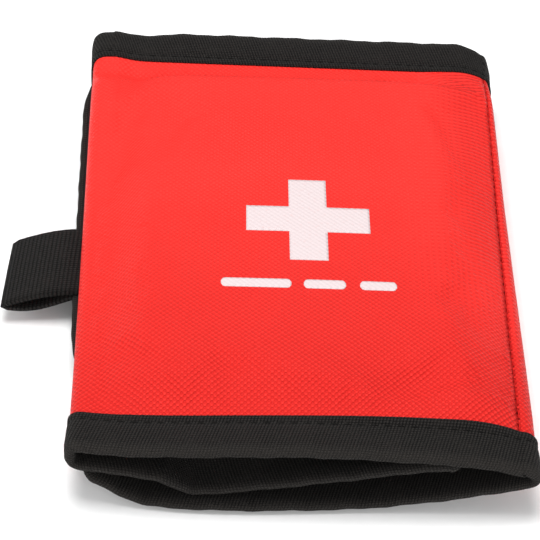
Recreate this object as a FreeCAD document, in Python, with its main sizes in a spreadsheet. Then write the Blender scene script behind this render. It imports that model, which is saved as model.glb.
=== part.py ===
import FreeCAD, Part
import Sketcher
import math
import os
import re

# Tri-fold first aid pouch, lying closed on its closing flap.
# Origin: centre of the pouch on the underside of the closing flap. +X points to the right fold,
# +Y to the far edge, +Z up. Millimetres.

doc = FreeCAD.newDocument("FirstAidKit")

SIZES = {
    # the closed pouch
    "pouch_length": 160.0,
    "right_fold_x": 46.7,
    "left_fold_x": -49.8,
    "flap_end_x": -57.0,
    "inner_end_x": 38.0,
    "corner_radius": 7.0,
    # sheet thicknesses and the folded tape round every rim
    "fabric": 0.8,
    "lining": 0.4,
    "film": 0.4,
    "tape": 0.7,
    "tape_width": 12.0,
    # heights of the three panels
    "inner_base": 6.2,
    "cover_base": 16.0,
    "crown_top": 25.0,
    "crown_rise": 7.9,
    # crown of the cover: foot and plateau
    "foot_left": -45.0,
    "foot_right": 43.0,
    "foot_side": 66.0,
    "top_left": -40.0,
    "top_right": 36.0,
    "top_side": 59.0,
    # clear pockets
    "pocket_side": 67.5,
    "flap_pocket_left": -22.0,
    "flap_pocket_right": 26.0,
    "flap_pocket_height": 3.9,
    "inner_pocket_left": -46.0,
    "inner_pocket_right": 25.0,
    "inner_pocket_height": 4.7,
    "cover_pocket_left": -47.0,
    "cover_pocket_right": 45.0,
    "cover_pocket_depth": 3.5,
    "trim_width": 6.0,
    # hook and loop closure
    "strip_left": -44.5,
    "strip_width": 20.0,
    "strip_length": 100.0,
    "hook_height": 1.7,
    "loop_height": 2.3,
    # webbing loop on the flap's free end
    "webbing_width": 25.0,
    "webbing": 1.1,
    "webbing_gap": 0.8,
    "pull_length": 14.8,
    "pull_centre_y": -5.5,
    # print on the cover
    "ink": 0.15,
    "cross_x": 2.5,
    "cross_y": -4.0,
    "cross_reach": 15.9,
    "cross_half_bar": 4.9,
    "bar_y": -28.9,
    "bar_height": 3.2,
    "bar_left": -19.7,
    "bar_gap": 3.3,
    "long_bar": 17.5,
    "middle_bar": 10.4,
    "short_bar": 9.4,
    # scissors, lying in the inner flap's pocket
    "pivot_x": -20.0,
    "pivot_y": 14.0,
    "scissors_base": 8.6,
    "blade": 1.2,
    "blade_gap": 0.1,
    "rivet_radius": 1.5,
    "rivet_head_radius": 2.8,
    "rivet_head": 0.3,
    "running_gap": 0.05,
    "ring_radius": 10.5,
    "finger_radius": 7.5,
    "ring_offset": 11.0,
    "ring_back": 34.0,
    "handle": 3.5,
    "arm_offset": 6.5,
    "arm_half_width": 3.0,
    "arm_back": 27.0,
    "arm_front": 12.0,
    # the rest of the inner flap's contents
    "leaflet_left": -44.0,
    "leaflet_right": 22.0,
    "leaflet_side": 65.0,
    "leaflet": 0.3,
    "tweezers_x": -42.0,
    "tweezers_y": -41.0,
    "tweezers": 3.0,
    "pin_length": 24.0,
    "pin_spread": 2.2,
    "pin_cap": 4.0,
    "pin_margin": 1.0,
    "wire": 0.9,
    # plasters and wipes in the closing flap's pocket
    "sachets_left": -20.0,
    "plasters_near": -66.0,
    "plaster_pitch": 21.0,
    "plaster_width": 19.0,
    "plaster_length": 72.0,
    "plaster": 0.7,
    "wipes_near": 12.0,
    "wipe_width": 44.0,
    "wipe_length": 50.0,
    "wipe": 1.3,
    "sachet_gap": 0.05,
    # packs under the cover's crown, and the flat packs under them
    "pack_width": 70.0,
    "pack_length": 36.0,
    "pack_pitch": 38.0,
    "pack_height": 7.0,
    "pack_base": 16.6,
    "pads_left": -28.0,
    "pads_near": -56.0,
    "pad_pitch": 57.0,
    "pad_side": 54.0,
    "pads_base": 15.3,
    "pads": 1.2,
    "gloves_left": -37.0,
    "gloves_right": 34.0,
    "gloves_near": -57.0,
    "gloves_far": 56.0,
    "gloves_base": 13.7,
    "gloves": 1.5,
}

sheet = doc.addObject("Spreadsheet::Sheet", "Sizes")
for row, (alias, value) in enumerate(SIZES.items(), start=1):
    sheet.set(f"A{row}", alias)
    sheet.set(f"B{row}", str(value))
    sheet.setAlias(f"B{row}", alias)
doc.recompute()

nodes = {}


def bind(item, prop, expression):
    """Bind a property to an expression whose words are aliases in the sheet."""
    in_sheet = re.sub(r"[a-z][a-z_]*", lambda word: "Sizes." + word.group(), expression)
    item.setExpression(prop, in_sheet)


def keep(item, node):
    """Name an object as a finished sub-part."""
    item.Label = node
    nodes[node] = item
    return item


# ---- solids from Part primitives ----

def box(x, y, z):
    """A box between two expressions along each axis."""
    item = doc.addObject("Part::Box", "block")
    for axis, side, (low, high) in zip("xyz", ("Length", "Width", "Height"), (x, y, z)):
        bind(item, f"Placement.Base.{axis}", low)
        bind(item, side, f"({high}) - ({low})")
    return item


def cylinder(centre, radius, base, height):
    """An upright cylinder."""
    item = doc.addObject("Part::Cylinder", "round")
    bind(item, "Placement.Base.x", centre[0])
    bind(item, "Placement.Base.y", centre[1])
    bind(item, "Placement.Base.z", base)
    bind(item, "Radius", radius)
    bind(item, "Height", height)
    return item


def cut(base, tool):
    item = doc.addObject("Part::Cut", "cut")
    item.Base, item.Tool = base, tool
    return item


def fuse(pieces):
    item = doc.addObject("Part::MultiFuse", "joined")
    item.Shapes = pieces
    return item


def group(pieces):
    """Separate solids kept as one sub-part."""
    item = doc.addObject("Part::Compound", "group")
    item.Links = pieces
    return item


def rounded(base, edges, radius):
    """Round the numbered edges of a box."""
    item = doc.addObject("Part::Fillet", "rounded")
    item.Base = base
    item.Edges = [(edge, radius, radius) for edge in edges]
    return item


UPRIGHT_LEFT = (1, 3)
UPRIGHT_RIGHT = (5, 7)
UPRIGHT_ALL = UPRIGHT_LEFT + UPRIGHT_RIGHT
ALONG_X = (9, 10, 11, 12)


def half_ring(x, z, outer, inner, low_y, high_y, side):
    """Half a tube about a line along Y, bulging towards +X (side 1) or -X (side -1)."""
    shells = []
    for radius in (outer, inner):
        item = doc.addObject("Part::Cylinder", "half_round")
        turn = FreeCAD.Rotation(FreeCAD.Vector(1, 0, 0), -90)
        start = FreeCAD.Rotation(FreeCAD.Vector(0, 0, 1), -90 if side > 0 else 90)
        item.Placement = FreeCAD.Placement(FreeCAD.Vector(), turn.multiply(start))
        item.Angle = 180
        bind(item, "Placement.Base.x", x)
        bind(item, "Placement.Base.y", low_y)
        bind(item, "Placement.Base.z", z)
        bind(item, "Radius", radius)
        bind(item, "Height", f"({high_y}) - ({low_y})")
        shells.append(item)
    return cut(*shells)


# ---- solids from sketches ----

def outline(body, points, height):
    """A closed level sketch of straight lines whose corners are placed by expressions."""
    level = next(plane for plane in body.Origin.OriginFeatures if plane.Role == "XY_Plane")
    sketch = body.newObject("Sketcher::SketchObject", "outline")
    sketch.AttachmentSupport = [(level, "")]
    sketch.MapMode = "FlatFace"
    bind(sketch, "AttachmentOffset.Base.z", height)
    count = len(points)
    # The lines start as a regular polygon, and the dimensions below pull the corners into place.
    turns = [2 * math.pi * index / count for index in range(count)]
    start = [FreeCAD.Vector(math.cos(turn), math.sin(turn), 0) for turn in turns]
    for index in range(count):
        sketch.addGeometry(Part.LineSegment(start[index], start[(index + 1) % count]))
    for index in range(count):
        sketch.addConstraint(Sketcher.Constraint("Coincident", index, 2, (index + 1) % count, 1))
    for index, point in enumerate(points):
        for kind, value, spot in zip(("DistanceX", "DistanceY"), point, start[index]):
            number = sketch.addConstraint(Sketcher.Constraint(kind, -1, 1, index, 1, spot))
            bind(sketch, f"Constraints[{number}]", value)
    return sketch


def pad(body, sketch, length):
    feature = body.newObject("PartDesign::Pad", "pad")
    feature.Profile = sketch
    bind(feature, "Length", length)
    return feature


def loft(body, kind, low, high):
    feature = body.newObject(f"PartDesign::{kind}", "loft")
    feature.Profile = low
    feature.Sections = [high]
    return feature


def plate(points, height, thickness):
    """A flat piece: an outline at a height, padded upwards."""
    body = doc.addObject("PartDesign::Body", "plate")
    pad(body, outline(body, points, height), thickness)
    return body


def rectangle(left, right, near, far):
    return [(left, near), (right, near), (right, far), (left, far)]


# ---- the three panels ----

RIM = "2 * tape + fabric + lining"
HALF = "pouch_length / 2"
INSIDE = f"({HALF} - tape_width)"
EDGE = f"({HALF} - tape)"


def span(limit):
    """From minus to plus the same expression."""
    return (f"-({limit})", limit)


def binding(x, base, side, node):
    """Tape folded over a rim that runs along X, with the slot that holds the fabric and the lining."""
    if side > 0:
        whole, slot = (INSIDE, HALF), (INSIDE, EDGE)
    else:
        whole, slot = (f"-{HALF}", f"-{INSIDE}"), (f"-{EDGE}", f"-{INSIDE}")
    tape = box(x, whole, (base, f"{base} + {RIM}"))
    gap = box(x, slot, (f"{base} + tape", f"{base} + {RIM} - tape"))
    keep(cut(tape, gap), node)


def inside(free, distance):
    """The place at a distance inside a free end; an end is an expression and its side, left -1 or right 1."""
    edge, side = free
    return f"{edge} {'+' if side < 0 else '-'} {distance}"


def from_end(free, distance, other):
    """The span of x from a distance inside a free end to another place, lowest first."""
    start = inside(free, distance)
    return (start, other) if free[1] < 0 else (other, start)


def end_corners(free):
    return UPRIGHT_LEFT if free[1] < 0 else UPRIGHT_RIGHT


def end_binding(free, base, node):
    """Tape folded over a panel's free end, round both of its corners."""
    leg = inside(free, "tape_width")
    outer_radius = SIZES["corner_radius"]
    whole = box(from_end(free, "0", leg), span(HALF), (base, f"{base} + {RIM}"))
    slot = box(from_end(free, "tape", leg), span(EDGE), (f"{base} + tape", f"{base} + {RIM} - tape"))
    tape = rounded(whole, end_corners(free), outer_radius)
    gap = rounded(slot, end_corners(free), outer_radius - SIZES["tape"])
    keep(cut(tape, gap), node)


def flat_panel(name, free, fold, base):
    """Outer fabric, lining and tapes of a panel that lies flat, from its free end to its fold."""
    corner = SIZES["corner_radius"] - SIZES["tape"]
    sheet_x = from_end(free, "tape", fold)
    core_x = from_end(free, "tape_width", fold)
    rim_low = f"{base} + tape"
    rim_top = f"{base} + tape + fabric"
    rim = rounded(box(sheet_x, span(EDGE), (rim_low, rim_top)), end_corners(free), corner)
    foam = box(core_x, span(INSIDE), (base, rim_top))
    keep(fuse([rim, foam]), f"{name}_outer")
    lining = box(sheet_x, span(EDGE), (rim_top, f"{rim_top} + lining"))
    keep(rounded(lining, end_corners(free), corner), f"{name}_lining")
    binding(core_x, base, -1, f"{name}_near_binding")
    binding(core_x, base, 1, f"{name}_far_binding")
    end_binding(free, base, f"{name}_end_binding")


def clear_pocket(name, left, right, foot, height):
    """A film tray over the contents, open on its right, with a tape under the edge of that mouth."""
    top = f"{foot} + {height}"
    shell = box((left, right), span("pocket_side"), (foot, top))
    room = box((f"{left} + film", right), span("pocket_side - film"), (foot, f"{top} - film"))
    keep(cut(shell, room), f"{name}_clear_pocket")
    trim = box((f"{right} - trim_width", right), span("pocket_side - film"),
               (f"{top} - film - lining", f"{top} - film"))
    keep(trim, f"{name}_pocket_trim")


flat_panel("flap", ("flap_end_x", -1), "right_fold_x", "0")
flat_panel("inner", ("inner_end_x", 1), "left_fold_x", "inner_base")

PANEL_TOP = "tape + fabric + lining"
clear_pocket("flap", "flap_pocket_left", "flap_pocket_right", PANEL_TOP, "flap_pocket_height")
clear_pocket("inner", "inner_pocket_left", "inner_pocket_right", f"inner_base + {PANEL_TOP}",
             "inner_pocket_height")

# ---- the crowned cover ----


def crowned_sheet(node, rim_base, thickness, crown_top):
    """A sheet with a flat rim and a raised, sloping crown, hollow underneath."""
    body = doc.addObject("PartDesign::Body", "crowned")
    rim = outline(body, rectangle("left_fold_x", "right_fold_x", f"-{EDGE}", EDGE), rim_base)
    pad(body, rim, thickness)
    foot = rectangle("foot_left", "foot_right", "-foot_side", "foot_side")
    top = rectangle("top_left", "top_right", "-top_side", "top_side")
    for kind, drop in (("AdditiveLoft", "0"), ("SubtractiveLoft", thickness)):
        low = outline(body, foot, f"{crown_top} - crown_rise - {drop}")
        high = outline(body, top, f"{crown_top} - {drop}")
        loft(body, kind, low, high)
    keep(body, node)


COVER_LINING = "cover_base + tape"
COVER_OUTER = "cover_base + tape + lining"
crowned_sheet("cover_outer", COVER_OUTER, "fabric", "crown_top")
crowned_sheet("cover_lining", COVER_LINING, "lining", "crown_top - fabric")
FOLD_TO_FOLD = ("left_fold_x", "right_fold_x")
binding(FOLD_TO_FOLD, "cover_base", -1, "cover_near_binding")
binding(FOLD_TO_FOLD, "cover_base", 1, "cover_far_binding")

# The cover's pocket hangs under its lining: four walls and a floor, with the tape on the floor's right edge.
COVER_POCKET = f"{COVER_LINING} - cover_pocket_depth"
COVER_POCKET_FLOOR = f"{COVER_POCKET} + film"
COVER_POCKET_RIGHT = "cover_pocket_right - film"
cover_shell = box(("cover_pocket_left", "cover_pocket_right"), span("pocket_side"),
                  (COVER_POCKET, COVER_LINING))
cover_room = box(("cover_pocket_left + film", COVER_POCKET_RIGHT), span("pocket_side - film"),
                 (COVER_POCKET_FLOOR, COVER_LINING))
keep(cut(cover_shell, cover_room), "cover_clear_pocket")
cover_trim = box((f"{COVER_POCKET_RIGHT} - trim_width", COVER_POCKET_RIGHT), span("pocket_side - film"),
                 (COVER_POCKET_FLOOR, f"{COVER_POCKET_FLOOR} + lining"))
keep(cover_trim, "cover_pocket_trim")

# ---- the two folds, each a half tube from one panel's rim round to the next ----


def fold(name, x, side, low_base, high_base):
    """Fabric, lining and tapes that go round a fold between a lower and an upper panel."""
    centre = f"({low_base} + {high_base} + {RIM}) / 2"
    outside = f"({high_base} - {low_base} + {RIM}) / 2"
    skin = f"{outside} - tape"
    inner_skin = f"{skin} - fabric"
    core = f"{inner_skin} - lining"
    keep(half_ring(x, centre, skin, inner_skin, f"-{EDGE}", EDGE, side), f"{name}_fold_outer")
    keep(half_ring(x, centre, inner_skin, core, f"-{EDGE}", EDGE, side), f"{name}_fold_lining")
    for end, whole, slot in (("near", (f"-{HALF}", f"-{INSIDE}"), (f"-{EDGE}", f"-{INSIDE}")),
                             ("far", (INSIDE, HALF), (INSIDE, EDGE))):
        tape = half_ring(x, centre, outside, f"{core} - tape", *whole, side)
        gap = half_ring(x, centre, skin, core, *slot, side)
        keep(cut(tape, gap), f"{name}_fold_{end}_binding")


fold("right", "right_fold_x", 1, "0", "cover_base")
fold("left", "left_fold_x", -1, "inner_base", "cover_base")

# ---- closure and pull loop ----

STRIP_X = ("strip_left", "strip_left + strip_width")
STRIP_Y = span("strip_length / 2")
keep(box(STRIP_X, STRIP_Y, (PANEL_TOP, f"{PANEL_TOP} + hook_height")), "hook_strip")
keep(box(STRIP_X, STRIP_Y, ("inner_base - loop_height", "inner_base")), "loop_strip")

# The pull loop is one length of webbing, doubled back on itself, with a round turn at its tip.
PULL_Y = ("pull_centre_y - webbing_width / 2", "pull_centre_y + webbing_width / 2")
PULL_X = ("flap_end_x - pull_length", "flap_end_x")
PULL_TOP = "2 * webbing + webbing_gap"
lower_leg = box(PULL_X, PULL_Y, ("0", "webbing"))
upper_leg = box(PULL_X, PULL_Y, (f"{PULL_TOP} - webbing", PULL_TOP))
tip = half_ring(PULL_X[0], f"({PULL_TOP}) / 2", f"({PULL_TOP}) / 2", "webbing_gap / 2", *PULL_Y, -1)
keep(fuse([lower_leg, upper_leg, tip]), "pull_loop")

# ---- print on the crown ----


def cross_outline(x, y, reach, half_bar):
    """The corners of an equal-armed cross, anticlockwise from the right arm."""
    corners = [(reach, f"-{half_bar}"), (reach, half_bar), (half_bar, half_bar)]
    for _ in range(3):
        corners += [(f"-({dy})", dx) for dx, dy in corners[-3:]]
    return [(f"{x} + ({dx})", f"{y} + ({dy})") for dx, dy in corners]


cross = cross_outline("cross_x", "cross_y", "cross_reach", "cross_half_bar")
keep(plate(cross, "crown_top", "ink"), "printed_cross")

# Three plain bars under the cross, as long as the words of an ordinary label.
BAR_ROUNDING = 0.45  # share of a bar's height
bars = []
left = "bar_left"
for length in ("long_bar", "middle_bar", "short_bar"):
    bar = box((left, f"{left} + {length}"), ("bar_y - bar_height / 2", "bar_y + bar_height / 2"),
              ("crown_top", "crown_top + ink"))
    bars.append(rounded(bar, UPRIGHT_ALL, SIZES["bar_height"] * BAR_ROUNDING))
    left = f"{left} + {length} + bar_gap"
keep(group(bars), "printed_bars")

# ---- scissors ----

LOWER_BLADE = "scissors_base + rivet_head"
UPPER_BLADE = f"{LOWER_BLADE} + blade + blade_gap"
PIVOT = ("pivot_x", "pivot_y")


def scissor_half(name, side, base, hole):
    """A blade with its tang, and the plastic ring handle that the tang ends in."""
    # From the tip down the back of the blade, past the pivot to the tang, and up the cutting edge.
    shape = ((-0.6, 46), (-5, 9), (-4.6, -4), (5, -21), (7.5, -25.2), (10, -24), (4.5, 2), (1.2, 10))
    blank = plate([(f"pivot_x + {side * x}", f"pivot_y + {y}") for x, y in shape], base, "blade")
    keep(cut(blank, cylinder(PIVOT, hole, base, "blade")), f"{name}_blade")
    centre = (f"pivot_x + {side} * ring_offset", "pivot_y - ring_back")
    ring = cylinder(centre, "ring_radius", "scissors_base", "handle")
    arm_x = f"pivot_x + {side} * arm_offset"
    arm = box((f"{arm_x} - arm_half_width", f"{arm_x} + arm_half_width"),
              ("pivot_y - arm_back", "pivot_y - arm_front"), ("scissors_base", "scissors_base + handle"))
    finger = cylinder(centre, "finger_radius", "scissors_base", "handle")
    keep(cut(cut(fuse([ring, arm]), finger), blank), f"{name}_handle")


scissor_half("scissors_lower", -1, LOWER_BLADE, "rivet_radius")
scissor_half("scissors_upper", 1, UPPER_BLADE, "rivet_radius + running_gap")

SHAFT_TOP = f"{UPPER_BLADE} + blade + blade_gap"
foot_head = cylinder(PIVOT, "rivet_head_radius", "scissors_base", "rivet_head")
shaft = cylinder(PIVOT, "rivet_radius", LOWER_BLADE, f"{SHAFT_TOP} - ({LOWER_BLADE})")
top_head = cylinder(PIVOT, "rivet_head_radius", SHAFT_TOP, "rivet_head")
keep(fuse([foot_head, shaft, top_head]), "scissors_rivet")

# ---- the rest of the contents ----

INNER_FLOOR = f"inner_base + {PANEL_TOP}"
leaflet = box(("leaflet_left", "leaflet_right"), span("leaflet_side"),
              (INNER_FLOOR, f"{INNER_FLOOR} + leaflet"))
keep(leaflet, "leaflet")

# Tweezers: two arms that meet at the left and stand apart towards the tips.
TWEEZERS = ((0, 0), (8, -1.6), (46, -5), (66, -1.6), (46, -4), (10, -0.5),
            (10, 0.5), (46, 4), (66, 1.6), (46, 5), (8, 1.6))
arms = [(f"tweezers_x + {x}", f"tweezers_y + {y}") for x, y in TWEEZERS]
keep(plate(arms, "scissors_base", "tweezers"), "tweezers")


def safety_pin(x, y):
    """A closed pin: the wire's two bars, its coil and the cap over the point."""
    level = "scissors_base + pin_margin"
    wire_z = (f"{level} - wire / 2", f"{level} + wire / 2")
    pieces = []
    for side in (-1, 1):
        line = f"{y} + {side} * pin_spread"
        bar = box((x, f"{x} + pin_length"), (f"{line} - wire / 2", f"{line} + wire / 2"), wire_z)
        pieces.append(rounded(bar, ALONG_X, SIZES["wire"] * 0.4))
    coil = cylinder((x, y), "pin_spread + wire / 2", wire_z[0], "wire")
    eye = cylinder((x, y), "pin_spread - wire", wire_z[0], "wire")
    pieces.append(cut(coil, eye))
    cap = box((f"{x} + pin_length - pin_cap", f"{x} + pin_length + pin_margin"),
              (f"{y} - pin_spread - pin_margin", f"{y} + pin_spread + pin_margin"),
              (f"{level} - pin_margin", f"{level} + pin_margin"))
    pieces.append(rounded(cap, UPRIGHT_ALL, 1.2 * SIZES["pin_margin"]))
    return fuse(pieces)


PIN_PLACES = ((-38, -52), (-38, -61), (-6, -56))
keep(group([safety_pin(str(x), str(y)) for x, y in PIN_PLACES]), "safety_pins")

FLAP_FLOOR = f"{PANEL_TOP} + sachet_gap"


def stack(left, near, kind, count):
    """Flat sachets laid on each other, whose width, length and thickness are named after their kind."""
    sachets = []
    for layer in range(count):
        base = f"{FLAP_FLOOR} + {layer} * ({kind} + sachet_gap)"
        sachets.append(box((left, f"{left} + {kind}_width"), (near, f"{near} + {kind}_length"),
                           (base, f"{base} + {kind}")))
    return sachets


plasters = []
for column in range(2):
    plasters += stack(f"sachets_left + {column} * plaster_pitch", "plasters_near", "plaster", 4)
keep(group(plasters), "adhesive_plasters")
keep(group(stack("sachets_left", "wipes_near", "wipe", 2)), "alcohol_wipes")

PACK_X = span("pack_width / 2")
PACK_Z = ("pack_base", "pack_base + pack_height")
ROLLED, FOLDED = 3.4, 1.5  # rounding of a rolled pack and of a folded one
for node, place, rounding in (("gauze_bandage", 1, ROLLED), ("triangular_bandage", 0, FOLDED),
                              ("foil_blanket", -1, FOLDED)):
    centre = f"{place} * pack_pitch"
    pack = box(PACK_X, (f"{centre} - pack_length / 2", f"{centre} + pack_length / 2"), PACK_Z)
    keep(rounded(pack, ALONG_X, rounding), node)

gloves = box(("gloves_left", "gloves_right"), ("gloves_near", "gloves_far"),
             ("gloves_base", "gloves_base + gloves"))
keep(gloves, "gloves_pack")
gauze_pads = []
for place in range(2):
    near = f"pads_near + {place} * pad_pitch"
    gauze_pads.append(box(("pads_left", "pads_left + pad_side"), (near, f"{near} + pad_side"),
                          ("pads_base", "pads_base + pads")))
keep(group(gauze_pads), "gauze_pads")

# ---- check and write ----

doc.recompute()
failed = [item.Label for item in doc.Objects if {"Invalid", "Error"} & set(item.State)]
failed += [node for node, item in nodes.items()
           if item.Shape.isNull() or not item.Shape.isValid() or item.Shape.Volume < 1]
if failed:
    raise SystemExit(f"these failed: {failed}")

os.makedirs("parts", exist_ok=True)
for node, item in nodes.items():
    item.Shape.exportStep(f"parts/{node}.step")
    bounds = item.Shape.BoundBox
    print(f"{node:26s} volume {item.Shape.Volume:10.1f}  x {bounds.XMin:7.2f} {bounds.XMax:7.2f}"
          f"  y {bounds.YMin:7.2f} {bounds.YMax:7.2f}  z {bounds.ZMin:6.2f} {bounds.ZMax:6.2f}")
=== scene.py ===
import math

import bpy
import numpy as np
from mathutils import Matrix, Vector, noise
from mathutils.bvhtree import BVHTree


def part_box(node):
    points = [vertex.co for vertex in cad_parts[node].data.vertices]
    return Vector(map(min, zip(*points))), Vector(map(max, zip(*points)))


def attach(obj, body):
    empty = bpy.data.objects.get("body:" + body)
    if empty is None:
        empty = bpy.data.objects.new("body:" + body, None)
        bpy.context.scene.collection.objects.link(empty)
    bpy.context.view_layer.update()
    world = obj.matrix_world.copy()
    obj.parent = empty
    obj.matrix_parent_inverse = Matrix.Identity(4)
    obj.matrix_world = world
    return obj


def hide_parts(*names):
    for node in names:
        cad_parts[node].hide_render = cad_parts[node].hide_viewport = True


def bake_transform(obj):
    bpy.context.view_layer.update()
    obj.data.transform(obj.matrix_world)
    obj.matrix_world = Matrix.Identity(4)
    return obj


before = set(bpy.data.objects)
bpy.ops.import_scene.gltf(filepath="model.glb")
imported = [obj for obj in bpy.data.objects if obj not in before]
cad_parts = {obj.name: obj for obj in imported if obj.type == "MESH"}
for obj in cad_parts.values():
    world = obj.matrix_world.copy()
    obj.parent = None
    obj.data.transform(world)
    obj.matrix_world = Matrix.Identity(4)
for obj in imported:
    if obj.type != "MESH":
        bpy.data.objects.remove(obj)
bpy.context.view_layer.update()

FLAP, COVER, INNER = "closing_flap", "cover", "inner_flap"
MM = 0.001  # shapes are worked out in millimetres and stored in metres


def corners(node):
    low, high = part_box(node)
    return np.array(low) / MM, np.array(high) / MM


# ---------------------------------------------------------------- driving places, in millimetres
NEAR = corners("cover_near_binding")[0][1]
FAR = corners("cover_far_binding")[1][1]
TAPE = corners("cover_near_binding")[1][1] - NEAR
LEFT = corners("left_fold_outer")[1][0]
LEFT_TIP = corners("left_fold_near_binding")[0][0]
RIGHT_TIP = corners("right_fold_near_binding")[1][0]
FLAP_END = corners("flap_end_binding")[0][0]
INNER_END = corners("inner_end_binding")[1][0]
CROWN = corners("cover_outer")[1][2]
COVER_RIM = corners("cover_near_binding")[1][2]
INNER_LOW = corners("inner_near_binding")[0][2]

LEG = 0.95  # how far a tape leg stands over the cloth
CORNER = 3.0  # corner radius of the free ends
SEAM_NEAR, SEAM_FAR = 52.2, 54.4  # how far right the seam beside the right fold lies, at its two ends
GROOVE = 0.5  # depth of that seam
FOLD_TIP = RIGHT_TIP + 0.4  # how far right the right fold's cloth bulges
BOW_START, SAG_START = -58, -52  # where the near rims begin to bow out, and the closing flap's one to sag
DOME = 0.7  # how much higher the crown's middle is than its edge
SWELLS = 1.5  # how far the cloth simulation lifts the crown from its starting shape


def ease(t):
    t = np.clip(t, 0.0, 1.0)
    return t * t * (3 - 2 * t)


def swell(t):
    return np.exp(-np.square(t))


def toward_far(y):
    return ease((y - NEAR) / (FAR - NEAR))


def near_part(y, reach, fade):
    """1 along the near rim; it fades inward and ends at its reach, in millimetres from the rim."""
    return ease((NEAR + reach - y) / fade)


def far_part(y, reach, fade):
    """The same along the far rim."""
    return ease((y - FAR + reach) / fade)


def puffed_out(x, y):
    """The near rims bow out toward the near side, except at their left corners."""
    left_corner = np.clip(-x / 57, 0, 1) ** 6
    return 2.2 * ease((BOW_START - y) / 12) * (1 - left_corner)


def off_tape(y):
    """1 between the two bound rims, 0 under their tapes."""
    return ease((FAR - TAPE + 1 - np.abs(y)) / 3)


def seam_x(y):
    return SEAM_NEAR + (SEAM_FAR - SEAM_NEAR) * toward_far(y)


# ---------------------------------------------------------------- heights of the outer cloth
def cover_rim(x, y):
    """The cover's height before its crown. The far rim lies higher; both fall off at the right corners."""
    tilt = 0.008 * x
    near_swell = 2.1 * swell((x - 4) / 34)
    far_left_peak = 1.4 * swell((x - LEFT + 1) / 5)
    near = COVER_RIM - 1.4 - tilt + near_swell
    far = COVER_RIM + 2.4 - tilt + far_left_peak
    near_drop = 2.2 * near_part(y, 20, 18) * np.clip((x - 34) / 18, 0, 1.2) ** 2
    far_drop = 3.4 * far_part(y, 24, 20) * np.clip((x - 46) / 8.4, 0, 1.1) ** 2
    far_lift = 1.4 * far_part(y, TAPE, TAPE) * ease((x + 48) / 20)
    return near + (far - near) * ease((y - 5) / 65) + far_lift - near_drop - far_drop


def shoulder(t, power=2.0):
    """0 at the foot, 1 on the plateau, rounded over at the top and steep at the foot."""
    t = np.clip(t, 0.0, 1.0)
    return 1 - (1 - t) ** power


def crown(x, y):
    """0 along the cover's four sides, 1 on the plateau over the packs. It reaches nearer at the right."""
    left = ease((x - LEFT - 1) / 12)
    right = shoulder((seam_x(y) - x) / 17, 2.2)
    nearer = 3.5 * ease((x + 10) / 40)
    near = ease((y - NEAR - TAPE + 2 + nearer) / 12)
    far = ease((FAR - TAPE - 2.5 - y) / 10)
    return left * right * near * far


def cover_height(x, y):
    rim = cover_rim(x, y)
    dome = DOME * (1 - np.square((x + 2) / 52)) * (1 - np.square(y / 75))
    left_dent = 2.2 * swell(np.hypot((x + 41) / 9, (y + 57) / 8))
    right_dent = 2.4 * swell(np.hypot((x - 27) / 13, (y + 60) / 7))
    top = CROWN - SWELLS - DOME + dome - (left_dent + right_dent)
    groove = GROOVE * swell((seam_x(y) - x) / 0.8) * off_tape(y)
    valley = 2.3 * swell((y - FAR + TAPE + 5) / 3.8) * ease((46 - x) / 12)
    return rim + (top - rim) * crown(x, y) - groove - valley


def inner_height(x, y):
    """The inner flap's outer face looks down. Its near rim sags at the left and rises at the right."""
    flat = INNER_LOW + LEG + 0 * x
    right = 9.9 * np.clip((x + 24) / 54, 0, 1) ** 1.15
    left = 4.4 * ease((-25 - x) / 10) + 1.8 * ease((-33 - x) / 15)
    sagged = 3.1 + LEG + right + left
    return flat + (sagged - flat) * near_part(y, 15, 13)


def flap_height(x, y):
    """The closing flap's outer face lies on the table; its right part and its free end are lifted."""
    rim = near_part(y, 24, 20) + far_part(y, 24, 20)
    foot = 27 - 19 * rim
    to_seam = np.clip((x - foot) / (seam_x(y) - foot), 0, 1.2)
    right = (7.6 - 1.4 * toward_far(y)) * to_seam ** (2 - 0.3 * rim)
    start = -45 + 7 * rim
    to_end = np.clip((start - x) / (start - FLAP_END), 0, 1.2)
    return LEG + right + 6.6 * to_end ** 1.5


def flap_skew(x, y):
    """How far right the closing flap's free end lies: its near part most, its far part least."""
    near_shift = 5.2 * ease((-25 - y) / 50)
    far_shift = 2.3 * toward_far(y)
    far_corner = 2.6 * far_part(y, 18, 18)
    return (near_shift - far_shift + far_corner) * ease((-25 - x) / 28)


def flap_sag(x, y):
    """The closing flap's near rim sags out a little further in its left half."""
    return 2.0 * swell((x + 18) / 30) * ease((SAG_START - y) / 20)


def panel_point(height, side, x, y):
    """Point and outward normal of a panel's outer cloth; side is 1 if its face looks up, -1 if down."""
    x, y = np.broadcast_arrays(np.asarray(x, float), np.asarray(y, float))
    step = 0.05
    z = height(x, y)
    slope_x = (height(x + step, y) - height(x - step, y)) / (2 * step)
    slope_y = (height(x, y + step) - height(x, y - step)) / (2 * step)
    normal = np.stack([-slope_x, -slope_y, np.ones_like(z)], -1) * side
    shift, sag = (flap_skew(x, y), flap_sag(x, y)) if height is flap_height else (0, 0)
    point = np.stack([x + shift, y - puffed_out(x, y) - sag, z], -1)
    return point, normal / np.linalg.norm(normal, axis=-1, keepdims=True)


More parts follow.
